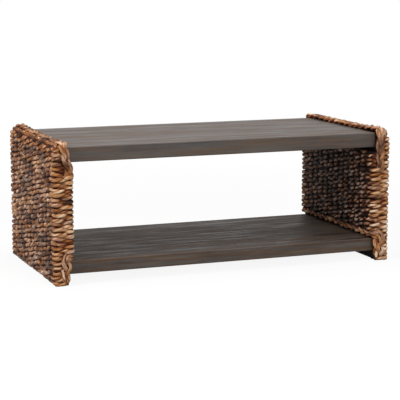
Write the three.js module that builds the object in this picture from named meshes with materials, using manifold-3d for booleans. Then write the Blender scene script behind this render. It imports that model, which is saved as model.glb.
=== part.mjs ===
// A rectangular coffee table: two thick boards held between two slab panels wrapped in woven rope.
// X runs along the boards, the front faces -Y, Z is up, and the origin is on the floor under the middle.
import * as THREE from "three";
import { mergeVertices } from "three/addons/utils/BufferGeometryUtils.js";
import Module from "manifold-3d";

const wasm = await Module();
wasm.setup();

// Driving dimensions in millimetres: the table as a whole
const tableWidth = 1220; // over the outer woven faces
const boardDepth = 540; // front edge to rear edge of both boards
const tabletopHeight = 454.5; // floor to the top board's upper face
const shelfHeight = 79; // floor to the lower board's upper face
const panelProud = 22.5; // how far the panels stand in front of and behind the boards

// Boards
const topBoardThickness = 51;
const lowerBoardThickness = 45;
const boardEdgeRadius = 3.5; // the eased long edges

// Wooden core of a panel
const coreThickness = 26;
const postWidth = 46; // along Y
const middleRailHeight = 44;
const railMargin = 7; // how far a rail reaches past what is fixed to it
const tenonLength = 24;
const tenonThickness = 10;
const tenonShoulder = 11; // above and below a tenon

// Woven rope
const outerWeaveThickness = 21.7;
const innerWeaveThickness = 17.2;
const edgeWeaveThickness = 15; // over the posts' front and rear faces
const weaveEdgeRadius = 8; // all round the outer face and down the edges' inner corners
const weaveTopRadius = 16; // the outer face's upper corners, seen from the side
const weaveFootRadius = 10; // its lower corners
const outerWeaveRise = 3; // the top row stands above the boards by this much
const weaveFloorClearance = 1;
const weaveTopShadow = 2.2; // bare core between the inner weave and the bearers' underside

// Upright stakes that the rope rows are woven over and behind
const stakeDiameter = 7;
const stakePitch = 42;
const bindingThickness = 3; // the strip that the stakes are nailed to
const bindingHeight = 14;
const stakeEndCover = 5; // rope above and below the stakes
const bindingInset = 6; // from a stake's end to its binding strip
const stakeBite = 0.5; // how far a stake is let into the strip

// Plaited trims
const braidThickness = 16;
const braidOverhang = 5; // how far the top plait reaches past the core, over the board's end
const topBraidDrop = 93; // how far it runs down below the boards' top
const topBraidCornerRadius = 28;
const lowerBraidHeight = 28;
const lowerBraidDepth = 21; // how far it stands off the core's inner face
const lowerBraidCornerRadius = 22;
const lowerBraidOverhang = 4;
const braidEdgeRadius = 5;

// Bearers under the boards' ends, their screws and the glides
const bearerWidth = 30;
const bearerHeight = 12;
const bearerSetback = 80; // from the boards' front and rear edges, out of sight
const screwDiameter = 4.5;
const screwHeadDiameter = 8.5;
const screwHeadDepth = 2.6;
const screwTipLength = 5;
const boardScrewLength = 38;
const railScrewLength = 50;
const boardScrewInset = 30; // from a bearer's end
const railScrewInset = 80;
const glideDiameter = 22;
const glideHeight = 4;
const glideEdge = 1; // the bevel round a glide's foot

// Clearance between pieces that touch, how far a cutter runs past what it cuts, and how round things are
const clearance = 0.3;
const overrun = 2;
const arcSteps = 5;
const bevelSteps = 2;
const stakeSides = 8;
const screwSides = 10;
const glideSides = 20;

// Planes worked out from the dimensions, on the panel at +X
const coreInnerX = tableWidth / 2 - outerWeaveThickness - clearance - coreThickness;
const coreOuterX = coreInnerX + coreThickness;
const coreMiddleX = coreInnerX + coreThickness / 2;
const panelHalfDepth = boardDepth / 2 + panelProud;
const coreHalfDepth = panelHalfDepth - edgeWeaveThickness - clearance;
const railHalfLength = coreHalfDepth - postWidth - clearance;
const topBoardUnderside = tabletopHeight - topBoardThickness;
const lowerBoardUnderside = shelfHeight - lowerBoardThickness;
const topBearerBottom = topBoardUnderside - clearance - bearerHeight;
const lowerBearerBottom = lowerBoardUnderside - clearance - bearerHeight;
const bearerHalfLength = boardDepth / 2 - bearerSetback;
const innerWeaveTop = topBearerBottom - weaveTopShadow;
const lowerBraidBottom = shelfHeight + clearance;
const lowerBraidTop = lowerBraidBottom + lowerBraidHeight;
const topBraidEnd = tabletopHeight - topBraidDrop;
const braidOuterX = coreOuterX;

// Materials
const woodFinish = { roughness: 0.6, metalness: 0 };
const boardWood = new THREE.MeshStandardMaterial({ color: 0x75695f, ...woodFinish });
const coreWood = new THREE.MeshStandardMaterial({ color: 0x1c1917, ...woodFinish });
const stakeCane = new THREE.MeshStandardMaterial({ color: 0x9a7b52, ...woodFinish });
const wovenRope = new THREE.MeshStandardMaterial({ color: 0x8f6a4a, roughness: 0.75, metalness: 0 });
const plaitedRope = new THREE.MeshStandardMaterial({ color: 0xa97f58, roughness: 0.7, metalness: 0 });
const screwSteel = new THREE.MeshStandardMaterial({ color: 0x8d8d8a, roughness: 0.35, metalness: 1 });
const glidePlastic = new THREE.MeshStandardMaterial({ color: 0x26231f, roughness: 0.8, metalness: 0 });

// Turns a closed geometry into a solid that can be joined and cut
function solidOf(geometry) {
  const bare = geometry.index ? geometry.toNonIndexed() : geometry.clone();
  bare.deleteAttribute("normal");
  bare.deleteAttribute("uv");
  const merged = mergeVertices(bare);
  const vertProperties = new Float32Array(merged.attributes.position.array);
  const triVerts = new Uint32Array(merged.index.array);
  return new wasm.Manifold(new wasm.Mesh({ numProp: 3, vertProperties, triVerts }));
}

// Turns a solid back into a geometry
function geometryOf(solid) {
  const mesh = solid.getMesh();
  const geometry = new THREE.BufferGeometry();
  const corners = new Float32Array(mesh.numVert * 3);
  for (let vertex = 0; vertex < mesh.numVert; vertex += 1) {
    for (let axis = 0; axis < 3; axis += 1) {
      corners[vertex * 3 + axis] = mesh.vertProperties[vertex * mesh.numProp + axis];
    }
  }
  geometry.setAttribute("position", new THREE.BufferAttribute(corners, 3));
  geometry.setIndex(new THREE.BufferAttribute(new Uint32Array(mesh.triVerts), 1));
  geometry.computeVertexNormals();
  return geometry;
}

// Cuts every cutter out of a geometry
function cut(geometry, cutters) {
  const start = solidOf(geometry);
  return geometryOf(cutters.reduce((solid, cutter) => solid.subtract(solidOf(cutter)), start));
}

// Joins geometries that overlap into one body
function join(geometries) {
  const [first, ...others] = geometries.map(solidOf);
  return geometryOf(others.reduce((solid, other) => solid.add(other), first));
}

// A box between two corners, each given as [x, y, z]
function boxBetween(low, high) {
  const size = high.map((value, axis) => value - low[axis]);
  const box = new THREE.BoxGeometry(...size);
  return box.translate(...high.map((value, axis) => (value + low[axis]) / 2));
}

// A rectangle from (left, bottom) to (right, top), each corner with its own radius, going round from
// bottom left: bottom left, bottom right, top right, top left
function roundedRectangle(left, bottom, right, top, radii) {
  const [lowLeft, lowRight, highRight, highLeft] = radii;
  const quarter = Math.PI / 2;
  const shape = new THREE.Shape();
  shape.moveTo(left + lowLeft, bottom);
  shape.lineTo(right - lowRight, bottom);
  if (lowRight) shape.absarc(right - lowRight, bottom + lowRight, lowRight, -quarter, 0);
  shape.lineTo(right, top - highRight);
  if (highRight) shape.absarc(right - highRight, top - highRight, highRight, 0, quarter);
  shape.lineTo(left + highLeft, top);
  if (highLeft) shape.absarc(left + highLeft, top - highLeft, highLeft, quarter, 2 * quarter);
  shape.lineTo(left, bottom + lowLeft);
  if (lowLeft) shape.absarc(left + lowLeft, bottom + lowLeft, lowLeft, 2 * quarter, 3 * quarter);
  return shape;
}

// Carries a shape drawn in Y and Z along X from one plane to another. A bevel rounds both end edges.
function extrudeAlongX(shape, fromX, toX, bevel = 0) {
  const depth = toX - fromX - 2 * bevel;
  const rounded = { bevelThickness: bevel, bevelSize: bevel, bevelOffset: -bevel, bevelSegments: bevelSteps };
  const options = { depth, curveSegments: arcSteps, bevelEnabled: bevel > 0, ...rounded };
  const turn = new THREE.Matrix4().makeBasis(
    new THREE.Vector3(0, 1, 0),
    new THREE.Vector3(0, 0, 1),
    new THREE.Vector3(1, 0, 0),
  );
  return new THREE.ExtrudeGeometry(shape, options).applyMatrix4(turn).translate(fromX + bevel, 0, 0);
}

// Carries a shape drawn in X and Z along Y from one plane to a nearer one
function extrudeAlongY(shape, farY, nearY, bevel = 0) {
  const depth = farY - nearY - 2 * bevel;
  const rounded = { bevelThickness: bevel, bevelSize: bevel, bevelOffset: -bevel, bevelSegments: bevelSteps };
  const options = { depth, curveSegments: arcSteps, bevelEnabled: bevel > 0, ...rounded };
  const turn = new THREE.Matrix4().makeBasis(
    new THREE.Vector3(1, 0, 0),
    new THREE.Vector3(0, 0, 1),
    new THREE.Vector3(0, -1, 0),
  );
  return new THREE.ExtrudeGeometry(shape, options).applyMatrix4(turn).translate(0, farY - bevel, 0);
}

// Carries a shape drawn in X and Y up from one height to another
function extrudeUp(shape, fromZ, toZ) {
  const options = { depth: toZ - fromZ, curveSegments: arcSteps, bevelEnabled: false };
  return new THREE.ExtrudeGeometry(shape, options).translate(0, 0, fromZ);
}

// Names a piece and puts it in a group
function place(group, name, geometry, material) {
  const mesh = new THREE.Mesh(geometry, material.clone());
  mesh.name = name;
  group.add(mesh);
  return mesh;
}

// A countersunk wood screw with its head's face at the origin, driven along +Z. A grown one cuts the hole.
function screw(length, grow = 0) {
  const shankRadius = screwDiameter / 2 + grow;
  const headRadius = screwHeadDiameter / 2 + grow;
  const tipStart = length - screwTipLength + grow;
  const profile = [
    new THREE.Vector2(0, grow ? -overrun : 0),
    new THREE.Vector2(headRadius, grow ? -overrun : 0),
    new THREE.Vector2(headRadius, grow),
    new THREE.Vector2(shankRadius, screwHeadDepth + grow),
    new THREE.Vector2(shankRadius, tipStart),
    new THREE.Vector2(0, length + grow),
  ];
  const turned = grow ? profile : profile.filter((point, index) => index !== 2);
  return new THREE.LatheGeometry(turned, screwSides).rotateX(Math.PI / 2);
}

// Where the two kinds of screw go in the bearer at +X: into the board above, and into the rail beside it
function boardScrewPlaces(bearerBottom) {
  const x = coreInnerX - clearance - bearerWidth / 2;
  return [-1, 1].map((way) => [x, way * (bearerHalfLength - boardScrewInset), bearerBottom]);
}

function railScrewPlaces(bearerBottom) {
  const x = coreInnerX - clearance - bearerWidth;
  const z = bearerBottom + bearerHeight / 2;
  return [-1, 1].map((way) => [x, way * (bearerHalfLength - railScrewInset), z]);
}

const uprightScrew = (at, grow) => screw(boardScrewLength, grow).translate(...at);
const levelScrew = (at, grow) => screw(railScrewLength, grow).rotateY(Math.PI / 2).translate(...at);

// A board, with the screw holes that reach up into both its ends
function board(topHeight, thickness, bearerBottom) {
  const half = boardDepth / 2;
  const radii = Array(4).fill(boardEdgeRadius);
  const section = roundedRectangle(-half, topHeight - thickness, half, topHeight, radii);
  const halfLength = coreInnerX - clearance;
  const holes = boardScrewPlaces(bearerBottom).flatMap((at) => [
    uprightScrew(at, clearance),
    uprightScrew([-at[0], at[1], at[2]], clearance),
  ]);
  return cut(extrudeAlongX(section, -halfLength, halfLength), holes);
}

// A bearer with its countersunk holes
function bearer(bottom) {
  const inner = coreInnerX - clearance - bearerWidth;
  const outer = coreInnerX - clearance;
  const block = boxBetween(
    [inner, -bearerHalfLength, bottom],
    [outer, bearerHalfLength, bottom + bearerHeight],
  );
  const upright = boardScrewPlaces(bottom).map((at) => uprightScrew(at, clearance));
  const level = railScrewPlaces(bottom).map((at) => levelScrew(at, clearance));
  return cut(block, [...upright, ...level]);
}

// The rails of a core: lowest and highest point of each
const middleRailCentre = (topBearerBottom + lowerBraidTop) / 2;
const rails = {
  top_rail: [topBearerBottom - railMargin, tabletopHeight],
  middle_rail: [middleRailCentre - middleRailHeight / 2, middleRailCentre + middleRailHeight / 2],
  bottom_rail: [glideHeight, lowerBraidTop + railMargin],
};

// A tenon that reaches into both posts, or the mortises that it leaves when grown
function tenon([low, high], grow = 0) {
  const halfThickness = tenonThickness / 2 + grow;
  const halfLength = railHalfLength + clearance + tenonLength + grow;
  return boxBetween(
    [coreMiddleX - halfThickness, -halfLength, low + tenonShoulder - grow],
    [coreMiddleX + halfThickness, halfLength, high - tenonShoulder + grow],
  );
}

function rail(span, screwPlaces) {
  const [low, high] = span;
  const body = boxBetween([coreInnerX, -railHalfLength, low], [coreOuterX, railHalfLength, high]);
  const tenoned = join([body, tenon(span)]);
  return screwPlaces.length ? cut(tenoned, screwPlaces.map((at) => levelScrew(at, clearance))) : tenoned;
}

// The post at -Y, rounded where the top plait turns over it
function post() {
  const front = -coreHalfDepth;
  const roundOver = topBraidCornerRadius - braidThickness;
  const side = roundedRectangle(front, glideHeight, front + postWidth, tabletopHeight, [0, 0, 0, roundOver]);
  const mortises = Object.values(rails).map((span) => tenon(span, clearance));
  return cut(extrudeAlongX(side, coreInnerX, coreOuterX), mortises);
}

// A turned glide under a post
function glide() {
  const radius = glideDiameter / 2;
  const top = glideHeight - clearance;
  const profile = [
    new THREE.Vector2(0, 0),
    new THREE.Vector2(radius - glideEdge, 0),
    new THREE.Vector2(radius, glideEdge),
    new THREE.Vector2(radius, top),
    new THREE.Vector2(0, top),
  ];
  const turned = new THREE.LatheGeometry(profile, glideSides).rotateX(Math.PI / 2);
  return turned.translate(coreMiddleX, -(coreHalfDepth - postWidth / 2), 0);
}

// The stakes of one face, nailed to a strip near each end. faceX is the core's face and away is +1 or -1,
// the way off the core. Grown, it is the room that the stakes take in the weave.
function stakes(faceX, away, bottom, top, grow = 0) {
  const count = 2 * Math.floor(railHalfLength / stakePitch) + 1;
  const radius = stakeDiameter / 2 + grow;
  const stripNear = faceX + away * (clearance - (grow ? overrun : 0));
  const stripFar = faceX + away * (clearance + bindingThickness + grow);
  const stakeX = faceX + away * (clearance + bindingThickness - stakeBite + stakeDiameter / 2);
  const halfRun = ((count - 1) / 2) * stakePitch + stakeDiameter + grow;
  const length = top - bottom - 2 * stakeEndCover + 2 * grow;
  const rods = Array.from({ length: count }, (unused, index) =>
    new THREE.CylinderGeometry(radius, radius, length, stakeSides)
      .rotateX(Math.PI / 2)
      .translate(stakeX, (index - (count - 1) / 2) * stakePitch, (top + bottom) / 2),
  );
  const stripBottoms = [
    bottom + stakeEndCover + bindingInset,
    top - stakeEndCover - bindingInset - bindingHeight,
  ];
  const strips = stripBottoms.map((low) =>
    boxBetween(
      [Math.min(stripNear, stripFar), -halfRun, low - grow],
      [Math.max(stripNear, stripFar), halfRun, low + bindingHeight + grow],
    ),
  );
  return { rods, strips };
}

function stakeLadder(...span) {
  const { rods, strips } = stakes(...span);
  return join([...strips, ...rods]);
}

function stakeRoom(...span) {
  const { rods, strips } = stakes(...span, clearance);
  return [...rods, ...strips];
}

// The rope on the outer face, with its outer edges rounded. The half that lies past the core is kept.
const outerWeaveBottom = weaveFloorClearance;
const outerWeaveTop = tabletopHeight + outerWeaveRise;
function outerWeave() {
  const near = coreOuterX + clearance;
  const far = near + outerWeaveThickness;
  const corners = [weaveFootRadius, weaveFootRadius, weaveTopRadius, weaveTopRadius];
  const half = panelHalfDepth;
  const face = roundedRectangle(-half, outerWeaveBottom, half, outerWeaveTop, corners);
  const cushion = extrudeAlongX(face, near - weaveEdgeRadius, far, weaveEdgeRadius);
  const trim = boxBetween(
    [near - weaveEdgeRadius - overrun, -half - overrun, outerWeaveBottom - overrun],
    [near, half + overrun, outerWeaveTop + overrun],
  );
  return cut(cushion, [trim, ...stakeRoom(coreOuterX, 1, outerWeaveBottom, outerWeaveTop)]);
}

// The rope on the inner face, between the lower plait and the shadow under the top board's bearer
const innerWeaveBottom = lowerBraidTop + clearance;
function innerWeave() {
  const far = coreInnerX - clearance;
  const block = boxBetween(
    [far - innerWeaveThickness, -coreHalfDepth, innerWeaveBottom],
    [far, coreHalfDepth, innerWeaveTop],
  );
  return cut(block, stakeRoom(coreInnerX, -1, innerWeaveBottom, innerWeaveTop));
}

// The rope floats over the post at -Y, between the two plaits
function edgeWeave() {
  const left = coreInnerX - clearance - innerWeaveThickness;
  const back = -coreHalfDepth - clearance;
  const corners = [weaveEdgeRadius, 0, 0, 0];
  const plan = roundedRectangle(left, -panelHalfDepth, coreOuterX, back, corners);
  return extrudeUp(plan, innerWeaveBottom, topBraidEnd - clearance);
}

// The top plait: over the core from one edge of the panel to the other, and down both edges
function topBraid() {
  const inside = coreHalfDepth + clearance;
  const outside = inside + braidThickness;
  const under = tabletopHeight + clearance;
  const over = under + braidThickness;
  const outerRadius = topBraidCornerRadius;
  const innerRadius = topBraidCornerRadius - braidThickness;
  const quarter = Math.PI / 2;
  const side = new THREE.Shape();
  side.moveTo(outside, topBraidEnd);
  side.lineTo(outside, over - outerRadius);
  side.absarc(outside - outerRadius, over - outerRadius, outerRadius, 0, quarter);
  side.lineTo(outerRadius - outside, over);
  side.absarc(outerRadius - outside, over - outerRadius, outerRadius, quarter, 2 * quarter);
  side.lineTo(-outside, topBraidEnd);
  side.lineTo(-inside, topBraidEnd);
  side.lineTo(-inside, under - innerRadius);
  side.absarc(innerRadius - inside, under - innerRadius, innerRadius, 2 * quarter, quarter, true);
  side.lineTo(inside - innerRadius, under);
  side.absarc(inside - innerRadius, under - innerRadius, innerRadius, quarter, 0, true);
  side.lineTo(inside, topBraidEnd);
  return extrudeAlongX(side, coreInnerX - braidOverhang, braidOuterX, braidEdgeRadius);
}

// The lower plait: up one edge of the panel, round its corner, along the inner face and down the other edge
function lowerBraid() {
  const insideY = coreHalfDepth + clearance;
  const outsideY = insideY + braidThickness;
  const left = coreInnerX - clearance - lowerBraidDepth;
  const dropLeft = coreInnerX - lowerBraidOverhang;
  const radius = lowerBraidCornerRadius;
  const turn = new THREE.Shape();
  turn.moveTo(dropLeft, weaveFloorClearance);
  turn.lineTo(braidOuterX, weaveFloorClearance);
  turn.lineTo(braidOuterX, lowerBraidTop - radius);
  turn.absarc(braidOuterX - radius, lowerBraidTop - radius, radius, 0, Math.PI / 2);
  turn.lineTo(left, lowerBraidTop);
  turn.lineTo(left, lowerBraidBottom);
  turn.lineTo(dropLeft, lowerBraidBottom);
  const section = roundedRectangle(left, lowerBraidBottom, coreInnerX - clearance, lowerBraidTop, [
    braidEdgeRadius,
    0,
    0,
    braidEdgeRadius,
  ]);
  const reach = (insideY + outsideY) / 2;
  return join([
    extrudeAlongY(section, reach, -reach),
    extrudeAlongY(turn, -insideY, -outsideY),
    extrudeAlongY(turn, outsideY, insideY),
  ]);
}

// The whole table
const table = new THREE.Group();
place(table, "top_board", board(tabletopHeight, topBoardThickness, topBearerBottom), boardWood);
place(table, "lower_board", board(shelfHeight, lowerBoardThickness, lowerBearerBottom), boardWood);

// One panel is drawn at +X. The other is the same panel turned half round, so its front is drawn at +Y.
const panels = [
  { side: "right", turn: 0, near: "front", far: "rear" },
  { side: "left", turn: Math.PI, near: "rear", far: "front" },
];
for (const { side, turn, near, far } of panels) {
  const panel = new THREE.Group();
  panel.rotation.z = turn;
  table.add(panel);
  const add = (name, geometry, material) => place(panel, `${side}_${name}`, geometry, material);
  const addAcross = (name, make, material) => {
    add(`${near}_${name}`, make(), material);
    add(`${far}_${name}`, make(), material).scale.set(1, -1, 1);
  };
  addAcross("post", post, coreWood);
  for (const [name, span] of Object.entries(rails)) {
    const bearerBottoms = { top_rail: [topBearerBottom], bottom_rail: [lowerBearerBottom] };
    const screwPlaces = (bearerBottoms[name] ?? []).flatMap(railScrewPlaces);
    add(name, rail(span, screwPlaces), coreWood);
  }
  addAcross("glide", glide, glidePlastic);
  add("outer_stakes", stakeLadder(coreOuterX, 1, outerWeaveBottom, outerWeaveTop), stakeCane);
  add("inner_stakes", stakeLadder(coreInnerX, -1, innerWeaveBottom, innerWeaveTop), stakeCane);
  add("outer_weave", outerWeave(), wovenRope);
  add("inner_weave", innerWeave(), wovenRope);
  addAcross("edge_weave", edgeWeave, wovenRope);
  add("top_braid", topBraid(), plaitedRope);
  add("lower_braid", lowerBraid(), plaitedRope);
  for (const [level, bottom] of [["top", topBearerBottom], ["lower", lowerBearerBottom]]) {
    add(`${level}_bearer`, bearer(bottom), coreWood);
    boardScrewPlaces(bottom).forEach((at, index) => {
      add(`${[near, far][index]}_${level}_board_screw`, uprightScrew(at), screwSteel);
    });
    railScrewPlaces(bottom).forEach((at, index) => {
      add(`${[near, far][index]}_${level}_rail_screw`, levelScrew(at), screwSteel);
    });
  }
}

export default table;
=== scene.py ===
import math

import bpy
import numpy as np
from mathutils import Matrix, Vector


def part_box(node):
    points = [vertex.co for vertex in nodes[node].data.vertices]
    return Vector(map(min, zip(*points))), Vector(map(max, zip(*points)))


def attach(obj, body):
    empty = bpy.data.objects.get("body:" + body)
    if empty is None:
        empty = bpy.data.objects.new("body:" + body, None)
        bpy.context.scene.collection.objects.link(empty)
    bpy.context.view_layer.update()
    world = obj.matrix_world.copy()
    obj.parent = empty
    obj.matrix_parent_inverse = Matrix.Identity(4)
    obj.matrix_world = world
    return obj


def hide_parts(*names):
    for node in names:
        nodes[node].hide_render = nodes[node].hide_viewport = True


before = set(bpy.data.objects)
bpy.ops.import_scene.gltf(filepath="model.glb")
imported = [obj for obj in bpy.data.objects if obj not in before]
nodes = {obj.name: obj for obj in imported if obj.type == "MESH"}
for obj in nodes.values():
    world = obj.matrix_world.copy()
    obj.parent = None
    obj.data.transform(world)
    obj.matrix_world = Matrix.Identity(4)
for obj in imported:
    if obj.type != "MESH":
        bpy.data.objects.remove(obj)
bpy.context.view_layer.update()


# The core of each end panel: two posts and three rails of hardwood, planed, tenoned and stained near black.
# Rope hides nearly all of it, and only the strip under the lower board and the shadow under the top show.
mm = 0.001
sides = {"left": -1, "right": 1}  # the panels, and the side of X that each is on
ends = ("front", "rear")
core_grain = (4 * mm, 120 * mm)  # across and along the grain
core_colours = [(0.3, "#0C0B0B"), (0.7, "#1A1716")]
core_relief = 0.3 * mm
core_finish = {"IOR": 1.45, "Roughness": 0.8, "Specular IOR Level": 0.05}


def linear(hex_colour):
    """An sRGB hex value in linear light, fully opaque.

    Each channel v becomes v / 12.92 up to 0.04045, and ((v + 0.055) / 1.055)^2.4 above it.
    """
    value = np.array([int(hex_colour[start:start + 2], 16) for start in (1, 3, 5)]) / 255
    light = np.where(value <= 0.04045, value / 12.92, ((value + 0.055) / 1.055) ** 2.4)
    return (*light.tolist(), 1.0)


def add_node(tree, kind, inputs=None, **settings):
    """Adds a node with its settings. Each input is a value to set or another node's output to link.

    A Mix node of colours has its factor at input 0, its colours at 6 and 7, and its result at output 2.
    """
    node = tree.nodes.new(kind)
    for name, value in settings.items():
        setattr(node, name, value)
    for name, value in (inputs or {}).items():
        if isinstance(value, bpy.types.NodeSocket):
            tree.links.new(value, node.inputs[name])
        else:
            node.inputs[name].default_value = value
    return node


def start_material(name):
    """A new material, its emptied node tree and the Object coordinates in it."""
    material = bpy.data.materials.new(name)
    material.use_nodes = True
    tree = material.node_tree
    tree.nodes.clear()
    return material, tree, add_node(tree, "ShaderNodeTexCoord").outputs["Object"]


def stretched_noise(tree, place, sizes, detail, start=(0, 0, 0)):
    """Noise of place / sizes + start, so that its patches are about as long on each axis as its size."""
    inputs = {"Vector": place, "Location": start, "Scale": [1 / size for size in sizes]}
    stretched = add_node(tree, "ShaderNodeMapping", inputs).outputs["Vector"]
    inputs = {"Vector": stretched, "Scale": 1.0, "Detail": detail}
    return add_node(tree, "ShaderNodeTexNoise", inputs).outputs["Fac"]


def set_ramp(ramp_node, stops):
    """Gives a colour ramp its stops, a list of places and sRGB hex values."""
    elements = ramp_node.color_ramp.elements
    while len(elements) < len(stops):
        elements.new(0.5)
    for element, (place, hex_colour) in zip(elements, stops):
        element.position = place
        element.color = linear(hex_colour)
    return ramp_node.outputs["Color"]


def finish_surface(tree, inputs):
    """Ends a tree with a Principled surface that takes these inputs."""
    surface = add_node(tree, "ShaderNodeBsdfPrincipled", inputs)
    add_node(tree, "ShaderNodeOutputMaterial", {"Surface": surface.outputs["BSDF"]})


def dress(name, material):
    """Gives a CAD piece this material in place of the one it came with."""
    nodes[name].data.materials.clear()
    nodes[name].data.materials.append(material)


# Hardwood under a near-black water stain: it reads as black, with only a trace of grain where light grazes it
def black_stained_wood(name, along):
    """Streaks along one axis: noise of the grain's length on that axis and of its width on the others."""
    material, tree, place = start_material(name)
    width, reach = core_grain
    grain = stretched_noise(tree, place, [reach if axis == along else width for axis in range(3)], 4.0)
    colour = set_ramp(add_node(tree, "ShaderNodeValToRGB", {"Fac": grain}), core_colours)
    relief = add_node(tree, "ShaderNodeBump", {"Height": grain, "Distance": core_relief, "Strength": 0.6})
    finish_surface(tree, {"Base Color": colour, "Normal": relief.outputs["Normal"], **core_finish})
    return material


core_upright_wood = black_stained_wood("black_stained_hardwood_upright", 2)
core_level_wood = black_stained_wood("black_stained_hardwood_level", 1)
for side in sides:
    for end in ends:
        dress(f"{side}_{end}_post", core_upright_wood)
    for level in ("top", "middle", "bottom"):
        dress(f"{side}_{level}_rail", core_level_wood)


# Upright stakes on both faces of each core: peeled cane rods nailed to two thin strips.
# The rope rows are woven over and behind them, so they show only as glints deep in the weave.
cane_bands = (5 * mm, 5 * mm, 90 * mm)  # across a rod, and from knot to knot
cane_colours = [(0.35, "#7A5B3A"), (0.6, "#A58357")]


# Peeled cane: pale straw to brown, smooth with a dull shine
def peeled_cane(name):
    """Soft bands along Z: a noise as long as the knots are apart."""
    material, tree, place = start_material(name)
    bands = stretched_noise(tree, place, cane_bands, 3.0)
    colour = set_ramp(add_node(tree, "ShaderNodeValToRGB", {"Fac": bands}), cane_colours)
    finish_surface(tree, {"Base Color": colour, "Roughness": 0.5, "IOR": 1.5})
    return material


cane = peeled_cane("peeled_cane")
for side in sides:
    for face in ("outer", "inner"):
        dress(f"{side}_{face}_stakes", cane)


# Rope rows: one strand of twisted banana bark to a row, woven over one stake and behind the next, and round
# both edges of a panel. Each row's floats lie over the stakes that its neighbours pass behind. Beside the
# boards' ends and the plaits a row covers only the outer face, and its ends are tucked in under the plait.
row_pitch = 8.16 * mm
row_count = 55
first_row_height = 7.4 * mm
foot_row = 0  # the lowest one, which runs level in front of the stakes
foot_swing = 0.4  # its share of the swing on the outer face
floor_gap = 0.5 * mm  # the lowest rows are pressed flat at this height
top_rows = 3  # woven with golden bark and set back
crown = {"left": 2 * mm, "right": 7 * mm}  # how far the top row is set back
crown_power = 1.3  # over 1 spares the rows below it
stake_pitch = 42 * mm
face_turns = 5.5  # half turns from a face's middle to half a pitch past its last stake
row_floats = 13  # on a row's way round the panel

# The way that a row takes round a panel
ring_corner = 7 * mm
ring_steps = 370  # points of a row that goes right round
corner_crowding = 2.5  # how many times closer the steps lie round a corner
row_inset = {"outer": 6.8 * mm, "edge": 5 * mm, "inner": 6.8 * mm}  # from the face to the row's middle
swing = {"outer": 3.4 * mm, "edge": 2.6 * mm, "inner": 4.2 * mm}  # forward over a stake, back behind it
slant = {"outer": 1.8 * mm, "edge": 0.3 * mm, "inner": 1.4 * mm}  # a float climbs by twice this
float_fullness = 0.6  # under 1 keeps a float at the front for longer
row_slip = {"outer": 0.7, "edge": 0.7, "inner": 0.5}  # how far a float slides along its row, in radians
slip_change = (1.0, 160 * mm)  # a change is an amount and a wavelength along the row

# The strand itself
strand_half_up = (5.9 * mm, 1.4 * mm)  # half a strand's height behind a stake, and its gain in front
strand_half_out = (4.3 * mm, 0.9 * mm)  # half its thickness, and its gain in front or loss behind
strand_scale = (0.92, 1.06)  # from the thinnest row to the thickest
strand_change = (0.1, 60 * mm)
rope_sides = 12  # corners of its section
rope_creases = 0.08
rope_lays = 15  # turns of its twist on one way round the panel
fibre_start = 300.0  # each strand's bark starts somewhere in these metres
ride_waves = (2, 3, 5)  # all the rows ride up and down by these waves together
ride_height = 1.3 * mm
ride_reach = 55 * mm  # the height over which they change
row_sway = 0.9 * mm  # how far a whole row lies off its place
sway_change = (1.0 * mm, 130 * mm)
end_sink = (8 * mm, 26 * mm)  # how deep a row's end is tucked in, and over what length
end_taper = (8 * mm, 0.7)  # the length over which it thins, and what is left at the tip
row_crevice_shade = (0.25, 0.75, 0.3, 0.35, 0.8)  # a to e in paint_crevice_light, the painted shade in the rows' crevices
inner_crevice_shade = 1.7  # over 0 paints more shade into the crevices of the inner face

# Its bark: tone runs from 0, dark, to 1, pale, and gold from under 0, painted greyer as shade, to 1, golden
edge_fade = (190 * mm, 285 * mm)  # from the faces' bark to that of the panel's edges, in Y
edge_fade_power = 1.5
row_tone = (0.5, 0.08)  # the bark's middle tone, and how far a row's is off it
edge_lift = {"left": 0.08, "right": 0.27}  # how much paler the bark is round the edges; the right panel's extra is painted light, for the key light it misses
inner_lift = 0.08  # and on the inner face, to offset the shade painted into its crevices
rear_fade = (262 * mm, 287 * mm)
rear_painted_shade = 0.22  # painted shade: how much darker the bark is made round the rear edge
float_tone = (0.06, 0.05)  # how far a float's tone is off the row's, and how much more at the edges
tone_change = (0.11, 190 * mm)
mottle_change = (0.05, 70 * mm)
edge_gold = (0.3, 1.0)  # what the rows gain at the edges, from the least to the most
inner_painted_grey = 0.6  # painted shade: how much greyer the rows are made on the inner face
float_gold = 0.25
top_gold = 0.6
gold_change = (0.2, 110 * mm)

# Where the rows end
rows_end = {  # height, and the X at which the rows that don't go right round end, in millimetres
    "left": [(0, 570), (76, 571), (104, 575), (365, 563), (383, 567), (416, 573), (450, 576)],
    "right": [(0, 580), (38, 580), (92, 582), (340, 580), (420, 578), (450, 578)],
}
foot_row_end = 562 * mm  # the lowest row's X, in front of the core's inner face
top_plait_end = {"left": 374 * mm, "right": 342 * mm}  # rows from the lower plait up to here go right round
inner_overlap = 6 * mm  # how far before the inner corner an inner row starts
backing_reach = 14 * mm  # inner rows this far down behind the lower plait close the gaps in it
backing_depth = 6 * mm  # how far back they lie
row_bands = {"foot": (0, 14), "lower": (14, 28), "upper": (28, 42), "head": (42, row_count)}  # one piece each


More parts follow.
